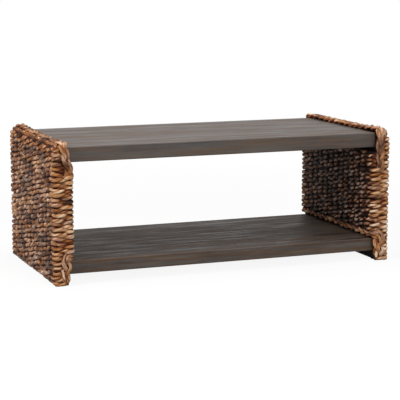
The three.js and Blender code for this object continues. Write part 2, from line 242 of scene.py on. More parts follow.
def ring_frame(panel):
    """The way round a panel seen from above, as places along it and what holds there.

    A rounded rectangle is an inner rectangle's outline pushed out by the corner radius. Its point at s is
    c(s) + r (cos a, sin a), where c runs along the straights, a turns by a quarter at each corner, and both
    change evenly with s. s is 0 at the middle of the outer face and first goes to the front.
    """
    outer_low, outer_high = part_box(f"{panel}_outer_weave")
    inner_low, inner_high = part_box(f"{panel}_inner_weave")
    outside = max(abs(outer_low[0]), abs(outer_high[0])) - row_inset["outer"]
    inside = min(abs(inner_low[0]), abs(inner_high[0])) + row_inset["inner"]
    half_depth = outer_high[1] - row_inset["edge"]
    far_x, near_x, reach = outside - ring_corner, inside + ring_corner, half_depth - ring_corner
    quarter = ring_corner * math.pi / 2
    stretches = [reach, quarter, far_x - near_x, quarter, 2 * reach, quarter, far_x - near_x, quarter, reach]
    return {
        "s": np.concatenate([[0], np.cumsum(stretches)]),
        "x": [far_x, far_x, far_x, near_x, near_x, near_x, near_x, far_x, far_x, far_x],
        "y": [0, -reach, -reach, -reach, -reach, reach, reach, reach, reach, 0],
        "turn": np.array([0, 0, -1, -1, -2, -2, -3, -3, -4, -4]) * math.pi / 2,
    }


def row_phase(ring, s):
    """Half a turn for each stake and a whole one over each edge, in stretches that are even in s.

    On a face the phase is pi s / pitch up to half a pitch past the last stake. A row that passes over there
    stays outside round the panel's corner and dives at the middle of the edge, where its neighbours come out.
    """
    length = ring["s"][-1]
    face = face_turns * stake_pitch
    corner, middle, far_corner = ring["s"][1:3].mean(), ring["s"][2:4].mean(), ring["s"][3:5].mean()
    places = np.array([0, face, corner, middle, far_corner, length / 2 - face, length / 2])
    half_turns = np.array([0, *(face_turns + np.arange(5) / 2), row_floats])
    back = slice(-2, None, -1)
    places = np.concatenate([places, length - places[back]])
    half_turns = np.concatenate([half_turns, 2 * row_floats - half_turns[back]])
    return math.pi * np.interp(s, places, half_turns)


def wander(draws, s, length, change, count=1):
    """Smooth random waves for count strands: the change's amount times half the sum of four sines.

    Each sine has 0.4 to 1.3 times the waves that fit into the length, made a whole number, so that a strand
    which closes on itself stays closed.
    """
    amount, wavelength = change
    waves = np.round(length / wavelength * draws.uniform(0.4, 1.3, (count, 4, 1))) + 1
    phases = draws.uniform(0, 2 * math.pi, (count, 4, 1))
    return amount * np.sin(2 * math.pi * waves * s / length + phases).sum(1) / 2


def tube_faces(steps, around, closed):
    """The quads of a tube of steps rings of so many points, joined end to start if it is closed."""
    ring = np.arange(steps if closed else steps - 1)[:, None]
    point = np.arange(around)[None, :]
    here, there = ring * around, ((ring + 1) % steps) * around
    following = (point + 1) % around
    return np.stack([here + point, there + point, there + following, here + following], -1).reshape(-1, 4)


def build_mesh(name, vertices, quads, caps, attributes):
    """One mesh object from whole arrays. Its faces are turned round if its signed volume is negative.

    The volume is the sum of a . (b x c) / 6 over the triangles of the quads, of which only the sign counts.
    Caps are end rings of points.
    """
    a, b, c, d = (vertices[quads[:, corner]] for corner in range(4))
    volume = (a * np.cross(b, c)).sum() + (a * np.cross(c, d)).sum()
    if volume < 0:
        quads = quads[:, ::-1]
        caps = [cap[::-1] for cap in caps]
    corners = np.concatenate([quads.ravel(), *caps]) if caps else quads.ravel()
    sizes = np.concatenate([np.full(len(quads), 4), [len(cap) for cap in caps]]).astype(np.int32)
    mesh = bpy.data.meshes.new(name)
    mesh.vertices.add(len(vertices))
    mesh.vertices.foreach_set("co", vertices.astype(np.float32).ravel())
    mesh.loops.add(len(corners))
    mesh.loops.foreach_set("vertex_index", corners.astype(np.int32))
    mesh.polygons.add(len(sizes))
    mesh.polygons.foreach_set("loop_start", np.concatenate([[0], np.cumsum(sizes)[:-1]]).astype(np.int32))
    mesh.polygons.foreach_set("use_smooth", np.ones(len(sizes), bool))
    for key, values in attributes.items():
        kind, field = ("FLOAT", "value") if values.ndim == 1 else ("FLOAT_VECTOR", "vector")
        mesh.attributes.new(key, kind, "POINT").data.foreach_set(field, values.astype(np.float32).ravel())
    mesh.update(calc_edges=True)
    mesh.validate()
    piece = bpy.data.objects.new(name, mesh)
    bpy.context.scene.collection.objects.link(piece)
    return piece


def twisted_tubes(middle, across, up, half_across, half_up, travel, lays, around, draws):
    """Ropes along paths: middle + k (across w cos v + up h sin v), where k gives the section its creases.

    k is 1 + creases (cos 2u + 0.6 cos (3u + a) + 0.4 cos (5u + b)), where u is v plus the rope's twist and a
    and b are drawn for each rope. The first wave is the rope's two plies. Arrays are (ropes, steps, ...).
    Returns the points (ropes, steps, around, 3), the places in the rope's own untwisted space, and the share
    of the bark's colour that painted shade leaves at each point: 1 on a ply and down to 0.55 between them.
    """
    v = np.linspace(0, 2 * math.pi, around, endpoint=False)
    turned = v + lays[..., None]
    a, b = draws.uniform(0, 2 * math.pi, (2, len(middle), 1, 1))
    plies = np.cos(2 * turned) + 0.6 * np.cos(3 * turned + a) + 0.4 * np.cos(5 * turned + b)
    swell = 1 + rope_creases * plies
    wide = (half_across[..., None] * np.cos(v) * swell)[..., None]
    high = (half_up[..., None] * np.sin(v) * swell)[..., None]
    points = middle[..., None, :] + across[..., None, :] * wide + up[..., None, :] * high
    size = ((half_across + half_up) / 2)[..., None]
    along = np.broadcast_to(travel[..., None], turned.shape)
    inside = np.stack([along, size * np.cos(turned), size * np.sin(turned)], -1)
    return points, inside, np.clip(0.9 + 0.25 * plies, 0.55, 1)


def paint_crevice_light(plies, depth, own, shelter):
    """Painted crevice shade, as the share of the bark's colour that a point keeps: 1 on a free crest, 0 in a
    crevice.

    It is plies x (a + b depth) x (c + (1 - c) (d + e own)), with both brackets kept from 0 to 1. Depth is 1
    where the strands come furthest forward, and own is 1 on the strand's own front and -1 on its back.
    """
    a, b, c, d, e = shelter
    return plies * np.clip(a + b * depth, 0, 1) * (c + (1 - c) * np.clip(d + e * own, 0, 1))


def join_tubes(name, batches, material):
    """Joins batches of tubes, each (points, closed, attributes by name), into one object."""
    vertices, quads, caps, values, start = [], [], [], {}, 0
    for points, closed, attributes in batches:
        ropes, steps, around, _ = points.shape
        starts = start + np.arange(ropes) * steps * around
        quads.append((starts[:, None, None] + tube_faces(steps, around, closed)).reshape(-1, 4))
        if not closed:
            for first in starts:
                last = first + (steps - 1) * around
                caps += [np.arange(first, first + around), np.arange(last, last + around)[::-1]]
        vertices.append(points.reshape(-1, 3))
        for key, array in attributes.items():
            spread = array if array.ndim == 4 else np.broadcast_to(array, points.shape[:3])
            values.setdefault(key, []).append(spread.reshape((-1, 3) if array.ndim == 4 else -1))
        start += ropes * steps * around
    joined = {key: np.concatenate(arrays) for key, arrays in values.items()}
    piece = build_mesh(name, np.concatenate(vertices), np.concatenate(quads), caps, joined)
    piece.data.materials.append(material)
    return piece


def row_places(ring, span):
    """Even steps along a row, crowded round the corners. The span is None for a row that closes on itself."""
    length = ring["s"][-1]
    crowding = np.array([1, corner_crowding] * 4 + [1])
    places = np.concatenate([ring["s"] - length, ring["s"][1:]])
    counted = np.concatenate([[0], np.cumsum(np.diff(places) * np.tile(crowding, 2))])
    first, last = np.interp(span or (0, length), places, counted)
    steps = round(2 * ring_steps * (last - first) / counted[-1])
    return np.interp(np.linspace(first, last, steps, endpoint=span is not None), counted, places)


def row_bark(panel, row, s, length, y, inner, phase, draws):
    """How pale and how golden the bark is along a row, each as a sum of shares.

    Bark is paler and more golden towards the panel's edges, by |y| between two places, raised to a power; on
    the right panel part of the paling is painted light. Each float has a shade and a shine of its own, which
    change behind the stake. The inner face is painted greyer as shade and made paler to offset its painted
    crevice shade, the rear edge has painted shade, and the top rows are golden.
    """
    near_edge = np.interp(np.abs(y), edge_fade, (0, 1)) ** edge_fade_power
    float_number = np.floor(phase / (2 * math.pi) + 0.5).astype(int) % row_floats
    shade, shine = draws.normal(0, 1, (2, row_floats))[:, float_number]
    tone = row_tone[0] + row_tone[1] * draws.uniform(-1, 1)
    tone = tone + edge_lift[panel] * near_edge + inner_lift * inner
    tone = tone + (float_tone[0] + float_tone[1] * near_edge) * shade
    tone = tone - rear_painted_shade * np.interp(y, rear_fade, (0, 1))
    tone = tone + wander(draws, s, length, tone_change) + wander(draws, s, length, mottle_change)
    gold = near_edge * draws.uniform(*edge_gold) - inner_painted_grey * inner * (1 - near_edge) + float_gold * shine
    gold = gold + (top_gold if row >= row_count - top_rows else 0.0) + wander(draws, s, length, gold_change)
    return tone, gold


def rope_row(panel, ring, row, span, starts, draws, back=0.0):
    """One row's strand as points and attributes, over the span of places (first, last) round the panel.

    It is off the row's line by swing c outwards and slant sin f upwards, where c is cos f with its size
    raised to the fullness. The phase f starts half a turn later in odd rows. All rows of a panel ride up and
    down together by a sum of waves sin (n s + a) cos (height / reach + b). The strand swells over a stake,
    and where it ends it thins, and sinks in by the square of what is left of its last stretch. The whole row
    can be set back from its face.
    """
    length = ring["s"][-1]
    height = first_row_height + row_pitch * row
    closed = span is None
    s = row_places(ring, span)
    turned = np.mod(s, length)
    x, y, turn = (np.interp(turned, ring["s"], ring[key]) for key in ("x", "y", "turn"))
    outwards = np.stack([np.cos(turn), np.sin(turn), 0 * turn], -1)
    upwards = np.array([0, 0, 1.0])
    line = np.stack([x, y, 0 * s + height], -1) + ring_corner * outwards
    share = {
        "outer": np.clip(outwards[:, 0], 0, 1), "inner": np.clip(-outwards[:, 0], 0, 1),
        "edge": np.abs(outwards[:, 1]),
    }
    swings, slants, slips = (
        sum(sizes[face] * share[face] for face in share) for sizes in (swing, slant, row_slip)
    )

    phase = row_phase(ring, turned) + math.pi * (row % 2) + slips * wander(draws, s, length, slip_change)[0]
    front, climb = np.cos(phase), np.sin(phase)
    front = np.sign(front) * np.abs(front) ** float_fullness
    if row == foot_row:
        front, climb = np.minimum(share["edge"] + foot_swing * share["outer"], 1), 0 * s
    end = 0 * s + 1 if closed else np.minimum(s - s[0], s[-1] - s)
    sunk = end_sink[0] * (1 - np.clip(end / end_sink[1], 0, 1)) ** 2 + back
    sunk = sunk + crown[panel] * (max(0, row + 1 + top_rows - row_count) / top_rows) ** crown_power
    thick = draws.uniform(*strand_scale) + wander(draws, s, length, strand_change)[0]
    thick = thick * np.interp(end, (0, end_taper[0]), (end_taper[1], 1))
    half_up = (strand_half_up[0] + strand_half_up[1] * np.clip(front, 0, 1)) * thick
    half_across = (strand_half_out[0] + strand_half_out[1] * front) * thick

    waves = np.sin(2 * math.pi * np.array(ride_waves)[:, None] * s / length + starts[0])
    ride = ride_height * (waves * np.cos(height / ride_reach + starts[1])).sum(0)
    sway = row_sway * draws.uniform(-1, 1) + wander(draws, s, length, sway_change)[0]
    up = -sides[panel] * slants * climb + ride + sway
    up = np.maximum(up, half_up + floor_gap - height)
    middle = line + (swings * front - sunk)[:, None] * outwards + up[:, None] * upwards
    lays = sides[panel] * 2 * math.pi * rope_lays * s / length + draws.uniform(0, 2 * math.pi)
    points, inside, plies = twisted_tubes(
        middle[None], outwards[None], np.broadcast_to(upwards, middle.shape)[None], half_across[None],
        half_up[None], s[None] + draws.uniform(0, fibre_start), lays[None], rope_sides, draws,
    )
    points[..., 2] = np.maximum(points[..., 2], floor_gap)

    reach = swings + sum(strand_half_out)
    depth = ((points - line[:, None]) * outwards[:, None]).sum(-1) / reach[:, None]
    own = ((points - middle[:, None]) * outwards[:, None]).sum(-1) / half_across[:, None]
    # Painted shade in the crevices, deeper on the inner face
    painted_crevice_light = paint_crevice_light(plies, depth, own, row_crevice_shade) ** (1 + inner_crevice_shade * share["inner"][:, None])
    tone, gold = row_bark(panel, row, s, length, y, share["inner"], phase, draws)
    attributes = {"fibre": inside, "tone": tone[..., None], "gold": gold[..., None], "painted_crevice_light": painted_crevice_light}
    return points * np.array([sides[panel], 1, 1]), closed, attributes


# Twisted banana-bark rope: fibres lie along the lay, weathered from purple-brown to pinkish tan, and golden
# where the fresh inner bark was kept for the edges. Waxed, so each strand has a low shine.
# Shade is painted into its crevices.
bark_stops = (0.00, 0.25, 0.45, 0.60, 0.78, 1.00)
weathered_bark = ("#21171A", "#4B362C", "#7A5A48", "#977157", "#B59078", "#D9BEA7")
golden_bark = ("#331C0E", "#633C1E", "#956033", "#B17D49", "#CDA47C", "#E6CDAE")
# Painted shade, multiplied over the bark: from the deepest crevice to a free crest, where it is white
crevice_shade_colours = [(0.05, "#2A1006"), (0.29, "#744529"), (0.56, "#D6B8A0"), (0.83, "#FFFFFF")]
dark_patch = (110 * mm, 110 * mm, 42 * mm)
gold_patch = (90 * mm, 90 * mm, 30 * mm)
gold_patch_start = 7.0  # cells of noise, so that these patches don't follow the dark ones
gold_patch_share = 2.2  # added to the gold attribute
gold_patch_floor = -0.95
bark_streaks = (45 * mm, 2.2 * mm, 2.2 * mm)  # bundles of fibres, along the rope and across it
bark_strips = (70 * mm, 6 * mm, 6 * mm)  # strips of bark
bark_shares = (1.5, 1.2, 1.1)  # how much the dark patches, strips and streaks change the tone
bark_relief = 1.2 * mm


def weigh(tree, noises, shares, start):
    """A start plus the sum of share x noise."""
    total = start
    for noise, share in zip(noises, shares):
        inputs = {0: noise, 1: share, 2: total}
        total = add_node(tree, "ShaderNodeMath", inputs, operation="MULTIPLY_ADD").outputs[0]
    return total


def bark_rope(name, lift):
    """Tone plus three noises picks the bark's colour, and a painted crevice shade is multiplied over it.

    The noises are slow patches, strips of bark and streaks of fibre, less their middle value. Another slow
    one, added to the gold attribute, says how much of the golden bark shows. Where the attribute is under
    nought the bark is painted greyer, as shade, mostly on the inner face.
    """
    material, tree, place = start_material(name)
    fibre = add_node(tree, "ShaderNodeAttribute", attribute_name="fibre").outputs["Vector"]
    tone, gold, painted_crevice_light = (
        add_node(tree, "ShaderNodeAttribute", attribute_name=key).outputs["Fac"]
        for key in ("tone", "gold", "painted_crevice_light")
    )
    dark = stretched_noise(tree, place, dark_patch, 3.0)
    bright = stretched_noise(tree, place, gold_patch, 3.0, (gold_patch_start,) * 3)
    streaks = stretched_noise(tree, fibre, bark_streaks, 5.0)
    strips = stretched_noise(tree, fibre, bark_strips, 2.0)
    blotch = weigh(tree, (dark, strips, streaks), bark_shares, lift - sum(bark_shares) / 2)
    choice = add_node(tree, "ShaderNodeMath", {0: tone, 1: blotch}, operation="ADD", use_clamp=True)
    inputs = {"Fac": choice.outputs[0]}
    weathered, golden = (
        set_ramp(add_node(tree, "ShaderNodeValToRGB", inputs), list(zip(bark_stops, colours)))
        for colours in (weathered_bark, golden_bark)
    )
    fresh = weigh(tree, (bright,), (gold_patch_share,), gold_patch_floor)
    amount = add_node(tree, "ShaderNodeMath", {0: gold, 1: fresh}, operation="ADD", use_clamp=True)
    inputs = {0: amount.outputs[0], 6: weathered, 7: golden}
    bark = add_node(tree, "ShaderNodeMix", inputs, data_type="RGBA").outputs[2]
    # Painted shade: bark whose gold attribute is under nought is made greyer
    shade_saturation = add_node(tree, "ShaderNodeMapRange", {
        "Value": gold, "From Min": -0.6, "From Max": -0.1, "To Min": 0.5, "To Max": 1.0,
    })
    inputs = {"Saturation": shade_saturation.outputs[0], "Color": bark}
    bark = add_node(tree, "ShaderNodeHueSaturation", inputs).outputs[0]
    # Painted crevice shade, multiplied over the bark
    crevice_shade = set_ramp(add_node(tree, "ShaderNodeValToRGB", {"Fac": painted_crevice_light}), crevice_shade_colours)
    inputs = {0: 1.0, 6: bark, 7: crevice_shade}
    shaded = add_node(tree, "ShaderNodeMix", inputs, data_type="RGBA", blend_type="MULTIPLY").outputs[2]
    rough = add_node(tree, "ShaderNodeMapRange", {"Value": streaks, "To Min": 0.5, "To Max": 0.8}).outputs[0]
    relief = add_node(tree, "ShaderNodeBump", {"Height": streaks, "Distance": bark_relief, "Strength": 0.8})
    finish_surface(tree, {
        "Base Color": shaded, "Roughness": rough, "Normal": relief.outputs["Normal"],
        "IOR": 1.4, "Specular IOR Level": 0.25,
    })
    return material


row_rope = bark_rope("twisted_banana_bark_rope", 0.025)
for panel, side in sides.items():
    draws = np.random.default_rng(40 + side)
    starts = draws.uniform(0, 2 * math.pi, (2, len(ride_waves), 1))
    ring = ring_frame(panel)
    length = ring["s"][-1]
    plait_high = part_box(f"{panel}_lower_braid")[1]
    inner_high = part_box(f"{panel}_inner_weave")[1]
    end_heights, end_places = mm * np.array(rows_end[panel], float).T
    inner_start = ring["s"][3] - inner_overlap
    for band, (first, last) in row_bands.items():
        batches = []
        for row in range(first, last):
            height = first_row_height + row_pitch * row
            reach = foot_row_end if row == foot_row else np.interp(height, end_heights, end_places)
            reach = ring["s"][2] + ring["x"][2] - reach
            crosses = plait_high[2] < height - row_pitch / 2 and height + row_pitch < top_plait_end[panel]
            span = None if crosses else (-reach, reach)
            batches.append(rope_row(panel, ring, row, span, starts, draws))
            if not crosses and plait_high[2] - backing_reach < height < inner_high[2] - row_pitch / 2:
                span = (inner_start, length - inner_start)
                back = backing_depth if height < plait_high[2] + row_pitch / 2 else 0.0
                batches.append(rope_row(panel, ring, row, span, starts, draws, back))
        piece = join_tubes(f"{panel}_rope_rows_{band}", batches, row_rope)
        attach(piece, "root")
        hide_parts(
            f"{panel}_outer_weave", f"{panel}_inner_weave",
            f"{panel}_front_edge_weave", f"{panel}_rear_edge_weave",
        )


# Top borders: a cord of two golden strands laid over the last rope row, between the weave and the plait, and
# turned down a little way at both edges of the panel. It closes the weave off along its top.
path_steps = 2.5 * mm
border_lay = 44 * mm  # one turn of the cord
border_strand = 4.5 * mm  # a strand's radius
border_twist = 40 * mm  # one turn of a strand in itself
border_swing = 3.6 * mm  # from the cord's middle to a strand's
border_bark = (0.4, 0.6)  # its tone, and how golden it is
border_inset = {"left": 12.5 * mm, "right": 13 * mm}  # from the outer face to the cord's middle
border_edge = 8 * mm  # from the weave's front and rear
border_rise = 1.5 * mm  # over the weave's top
front, up, inwards = (0, -1, 0), (0, 0, 1), (-1, 0, 0)  # ways that a path can face
border_stations = [  # how far in, back from the edge and down, in millimetres, and which way it faces
    ((10, 9, 46), front), ((8, 0, 26), front), ((2, 0, 0), (0, -1, 1)), ((0, 28, 0), up),
]
laid_sides = 16
laid_taper = (12 * mm, 0.6)  # as end_taper
laid_crevice_shade = (0.7, 0.3, 0.5, 0.35, 0.85)  # a to e in paint_crevice_light, the painted shade in the crevices of the border and plaits
laid_tone = 0.07  # how far a strand's tone is off the middle one
laid_changes = {"swell": (0.12, 55 * mm), "tone": (0.11, 120 * mm), "gold": (0.25, 200 * mm)}


def unit(vectors):
    """Each vector over its own length."""
    return vectors / np.linalg.norm(vectors, axis=-1, keepdims=True)


def smooth_path(half, rear=None):
    """A path from the front edge over to the rear one, as points, tangents, outward normals and widths.

    Half of it is given, as rows of a place, the way it faces and a width, and the rest is the mirror image
    in Y of the rear rows, or of the same ones. Each side of this polyline is cut at a quarter and at three
    quarters, five times over, which nears a quadratic B-spline. It is then read off at even steps.
    """
    rows, back = (
        np.array([(*place, *facing, width) for place, facing, width in part], float)
        for part in (half, rear or half)
    )
    curve = np.concatenate([rows, back[::-1] * np.array([1, -1, 1, 1, -1, 1, 1])])
    for _ in range(5):
        near = 0.75 * curve[:-1] + 0.25 * curve[1:]
        far = 0.25 * curve[:-1] + 0.75 * curve[1:]
        cut = np.stack([near, far], 1).reshape(-1, 7)
        curve = np.concatenate([curve[:1], cut[1:-1], curve[-1:]])
    places = np.concatenate([[0], np.cumsum(np.linalg.norm(np.diff(curve[:, :3], axis=0), axis=1))])
    even = np.linspace(0, places[-1], round(places[-1] / path_steps))
    curve = np.stack([np.interp(even, places, curve[:, column]) for column in range(7)], -1)
    points, away = curve[:, :3], curve[:, 3:6]
    tangents = unit(np.gradient(points, axis=0))
    away = unit(away - (away * tangents).sum(1, keepdims=True) * tangents)
    return points, tangents, away, curve[:, 6]


def laid_strands(panel, path, offsets, half_width, half_thickness, lay, draws, tone, gold):
    """Strands beside a path, as points and attributes.

    Offsets are (strands, steps, 2) amounts, sideways and outwards. A strand's section is an ellipse, wide
    across its own heading, which swells and shrinks on the way and thins towards its ends.
    """
    points, tangents, normals, _ = path
    travel = path_steps * np.arange(len(points))
    length = travel[-1]
    strands = len(offsets)
    sideways = np.cross(tangents, normals)
    middle = points + offsets[..., :1] * sideways + offsets[..., 1:] * normals
    heading = unit(np.gradient(middle, axis=1))
    wide = unit(np.cross(heading, np.broadcast_to(normals, heading.shape)))
    outwards = np.cross(wide, heading)
    end = np.interp(np.minimum(travel, length - travel), (0, laid_taper[0]), (laid_taper[1], 1))
    swell = (1 + wander(draws, travel, length, laid_changes["swell"], strands)) * end
    lays = 2 * math.pi * travel / lay + draws.uniform(0, 6, (strands, 1))
    tubes, inside, plies = twisted_tubes(
        middle, wide, outwards, half_width * swell, half_thickness * swell,
        travel + draws.uniform(0, fibre_start, (strands, 1)), lays, laid_sides, draws,
    )
    reach = np.abs(offsets[..., 1]).max() + np.max(half_thickness)
    depth = ((tubes - points[:, None]) * normals[:, None]).sum(-1) / reach
    own = ((tubes - middle[..., None, :]) * outwards[..., None, :]).sum(-1) / np.max(half_thickness)
    tone = tone + laid_tone * draws.uniform(-1, 1, (strands, 1))
    tone = tone + wander(draws, travel, length, laid_changes["tone"], strands)
    gold = gold + wander(draws, travel, length, laid_changes["gold"], strands)
    attributes = {
        "fibre": inside, "tone": tone[..., None], "gold": gold[..., None],
        "painted_crevice_light": paint_crevice_light(plies, depth, own, laid_crevice_shade),
    }
    return tubes * np.array([sides[panel], 1, 1]), False, attributes


border_rope = bark_rope("golden_banana_bark_border", 0.0)
for panel, side in sides.items():
    draws = np.random.default_rng(60 + side)
    outer_low, outer_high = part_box(f"{panel}_outer_weave")
    cord_x = max(abs(outer_low[0]), abs(outer_high[0])) - border_inset[panel]
    edge_y, top_z = outer_high[1] - border_edge, outer_high[2] + border_rise
    path = smooth_path([
        ((cord_x - inset * mm, back * mm - edge_y, top_z - drop * mm), facing, border_swing)
        for (inset, back, drop), facing in border_stations
    ])
    turn = 2 * math.pi * path_steps * np.arange(len(path[0])) / border_lay + np.array([[0], [math.pi]])
    offsets = path[3][:, None] * np.stack([np.cos(turn), np.sin(turn)], -1)
    cord = laid_strands(panel, path, offsets, border_strand, border_strand, border_twist, draws, *border_bark)
    piece = join_tubes(f"{panel}_top_border", [cord], border_rope)
    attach(piece, "root")


# Top plaits: three flat bundles of golden bark plaited together, laid over the core beside the top board's
# end and nailed down both edges of the panel, where they tuck in behind the first rows that cross the edge.
plait_period = 126 * mm
plait_over = 4.4 * mm  # how far a bundle swings out and in
plait_drift = (0.25, 90 * mm)  # how far the bundles run ahead or behind, in radians
plait_twist = 150 * mm  # one turn of a bundle in itself
plait_edge = 7 * mm  # from the CAD plait's face to the path at the panel's edge
plait_tone = {"left": 0.54, "right": 0.59}  # the bark's middle tone, painted paler on the right panel for the key light it misses
top_bundle = (7.4 * mm, 6.2 * mm)  # half its width and half its thickness
top_plait_gold = 0.18
top_run_outset = 2 * mm  # from the CAD plait's middle
top_run_drop = 10 * mm  # from its top
top_tuck = (8 * mm, 14 * mm)  # how far in and down the lower end is tucked
top_drops = {  # height, X and swing from the lower end up, in millimetres
    "left": [(362, 556, 8.0), (388, 561, 8.5), (418, 567, 8.0), (447, 572, 7.5)],
    "right": [(330, 575, 10.5), (372, 574, 10.0), (420, 573, 9.5), (447, 575, 10.0)],
}
run_stations = (0, 22, 52, 95, 150)  # millimetres along the run from the edge
run_rises = {  # how far it rises there
    "left": {"front": (0, 1, 1, 0, 0), "rear": (3, 5, 5, 3, 0)},
    "right": {"front": (4, 6, 5, 3, 0), "rear": (0, 0, 0, 0, 0)},
}
run_swings = (9.8, 10.5, 10.2, 9.6, 9.4)  # and how far its bundles swing


def plait(panel, path, bundle, draws, tone, gold):
    """Three bundles along a path, the i-th off it by w sin t sideways and h sin 2t outwards.

    t is a turn for each period of the travel, plus i / 3 of a turn, and drifts a little.
    """
    travel = path_steps * np.arange(len(path[0]))
    t = 2 * math.pi * (travel / plait_period + np.arange(3)[:, None] / 3)
    t = t + wander(draws, travel, travel[-1], plait_drift, 3)
    offsets = np.stack([path[3] * np.sin(t), plait_over * np.sin(2 * t)], -1)
    return laid_strands(panel, path, offsets, *bundle, plait_twist, draws, tone, gold)


plait_rope = bark_rope("plaited_banana_bark", 0.02)
for panel, side in sides.items():
    draws = np.random.default_rng(70 + side)
    low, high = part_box(f"{panel}_top_braid")
    run_x = (abs(low[0]) + abs(high[0])) / 2 + top_run_outset
    edge_y, top_z = high[1] - plait_edge, high[2] - top_run_drop
    drop = [((x * mm, -edge_y, z * mm), front, width * mm) for z, x, width in top_drops[panel]]
    (tuck_x, tuck_y, tuck_z), _, tuck_width = drop[0]
    tucked = ((tuck_x, tuck_y + top_tuck[0], tuck_z - top_tuck[1]), front, tuck_width)
    front_half, rear_half = (
        [tucked, *drop, *(
            ((run_x, along * mm - edge_y, top_z + rise * mm), up if along else (0, -1, 1), width * mm)
            for along, rise, width in zip(run_stations, run_rises[panel][end], run_swings)
        )] for end in ends
    )
    path = smooth_path(front_half, rear_half)
    tubes = plait(panel, path, top_bundle, draws, plait_tone[panel], top_plait_gold)
    piece = join_tubes(f"{panel}_top_plait", [tubes], plait_rope)
    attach(piece, "root")
    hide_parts(f"{panel}_top_braid")


# Lower plaits: the same three-bundle plait, laid along the inner face where it meets the lower board, turned
# round the panel's edge and run down it, where the lowest rope row crosses over its end.
low_bundle = {"run": (5.4 * mm, 4.2 * mm), "left": (7.2 * mm, 4.8 * mm), "right": (8.8 * mm, 5.2 * mm)}
low_swings = (5.4 * mm, 9 * mm)  # in the run, and where the drop's bundles are full
low_painted_shades = (-0.12, 0.08)  # painted shade added to the plait's tone in its run, which lies under the top board, and a paler tone in its drops
low_plait_gold = 0.25
low_run_outset = 8 * mm  # from the CAD plait's inner side
low_run_drop = 12.5 * mm  # from its top
low_drops = {  # height, X and swing from the foot up, in millimetres
    "left": [(12, 574, 9), (42, 573, 11), (76, 569, 14), (98, 563, 12)],
    "right": [(12, 579, 13), (42, 578, 15), (74, 580, 17), (97, 570, 12)],
}
low_run = ((2, 1, (-1, -1, 0)), (0, 14, inwards), (0, 60, inwards))  # X and Y from its corner, and its facing
for panel, side in sides.items():
    draws = np.random.default_rng(90 + side)
    low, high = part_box(f"{panel}_lower_braid")
    run_x, run_z = min(abs(low[0]), abs(high[0])) + low_run_outset, high[2] - low_run_drop
    edge_y = high[1] - plait_edge
    drop = [((x * mm, -edge_y, z * mm), front, width * mm) for z, x, width in low_drops[panel]]
    path = smooth_path([*drop, *(
        ((run_x + x * mm, y * mm - edge_y, run_z), facing, low_swings[0]) for x, y, facing in low_run
    )])
    bundle = [np.interp(path[3], low_swings, sizes) for sizes in zip(low_bundle["run"], low_bundle[panel])]
    tone = plait_tone[panel] + np.interp(path[3], low_swings, low_painted_shades)
    tubes = plait(panel, path, bundle, draws, tone, low_plait_gold)
    piece = join_tubes(f"{panel}_lower_plait", [tubes], plait_rope)
    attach(piece, "root")
    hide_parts(f"{panel}_lower_braid")


# Bearers, screws and glides: stained battens under the boards' ends, screwed into the core and up into the
# boards with zinc-plated countersunk screws, and a dark moulded glide under each post.
zinc_mottle = mm / 0.9
plastic_grain = mm / 1.5  # coarser than spark erosion leaves it
plastic_relief = 0.1 * mm


# Zinc-plated steel: pale grey metal with a soft mottled shine
def zinc_plate(name):
    """Metal whose roughness wanders with a noise of about a millimetre."""
    material, tree, place = start_material(name)
    mottle = stretched_noise(tree, place, (zinc_mottle,) * 3, 2.0)
    rough = add_node(tree, "ShaderNodeMapRange", {"Value": mottle, "To Min": 0.25, "To Max": 0.5})
    finish_surface(tree, {"Base Color": linear("#A9AAA8"), "Metallic": 1.0, "Roughness": rough.outputs[0]})
    return material


# Moulded polyethylene: dark, slightly waxy, with a fine spark-eroded grain
def moulded_plastic(name):
    """A fine noise as relief over one dark colour."""
    material, tree, place = start_material(name)
    grain = stretched_noise(tree, place, (plastic_grain,) * 3, 2.0)
    relief = add_node(tree, "ShaderNodeBump", {"Height": grain, "Distance": plastic_relief})
    finish_surface(tree, {
        "Base Color": linear("#26231F"), "Roughness": 0.6, "IOR": 1.5, "Normal": relief.outputs["Normal"],
    })
    return material


for side in sides:
    for level in ("top", "lower"):
        dress(f"{side}_{level}_bearer", core_level_wood)
zinc = zinc_plate("zinc_plated_steel")
plastic = moulded_plastic("moulded_polyethylene")
for name in nodes:
    for word, material in (("screw", zinc), ("glide", plastic)):
        if name.endswith(word):
            dress(name, material)


# Boards: two thick planks of open-grained hardwood, wire-brushed along the grain, stained grey-brown and
# sealed with a matt lacquer. Each lies on its bearers between the two panels.
board_bands = (  # how wide and long each band of the grain is, how broken up, and what it adds to the stain
    (38 * mm, 420 * mm, 3.0, 0.42),
    (11 * mm, 160 * mm, 4.0, 0.48),
    (3 * mm, 60 * mm, 4.0, 0.25),
)
board_patch = (260 * mm, 16 * mm, 16 * mm)  # greyer and browner patches, along the grain and across it
grain_start = 43.0  # cells of noise for each metre of height, so that the boards differ
patch_start = 3  # cells, so that the patches don't follow the grain
board_colours = [
    (0.40, "#241C18"), (0.50, "#352B25"), (0.57, "#42362E"), (0.64, "#4F4238"), (0.74, "#625348"),
]
board_sheen = {"top_board": 0.54, "lower_board": 0.36}
board_painted_light = {"top_board": -0.012, "lower_board": 0.025}  # painted light: the lower board's stain is made paler for the top board's shade over it, the top board's darker
board_relief = 0.8 * mm
worn_edge = "#7B6C66"
worn_edge_width = 5 * mm


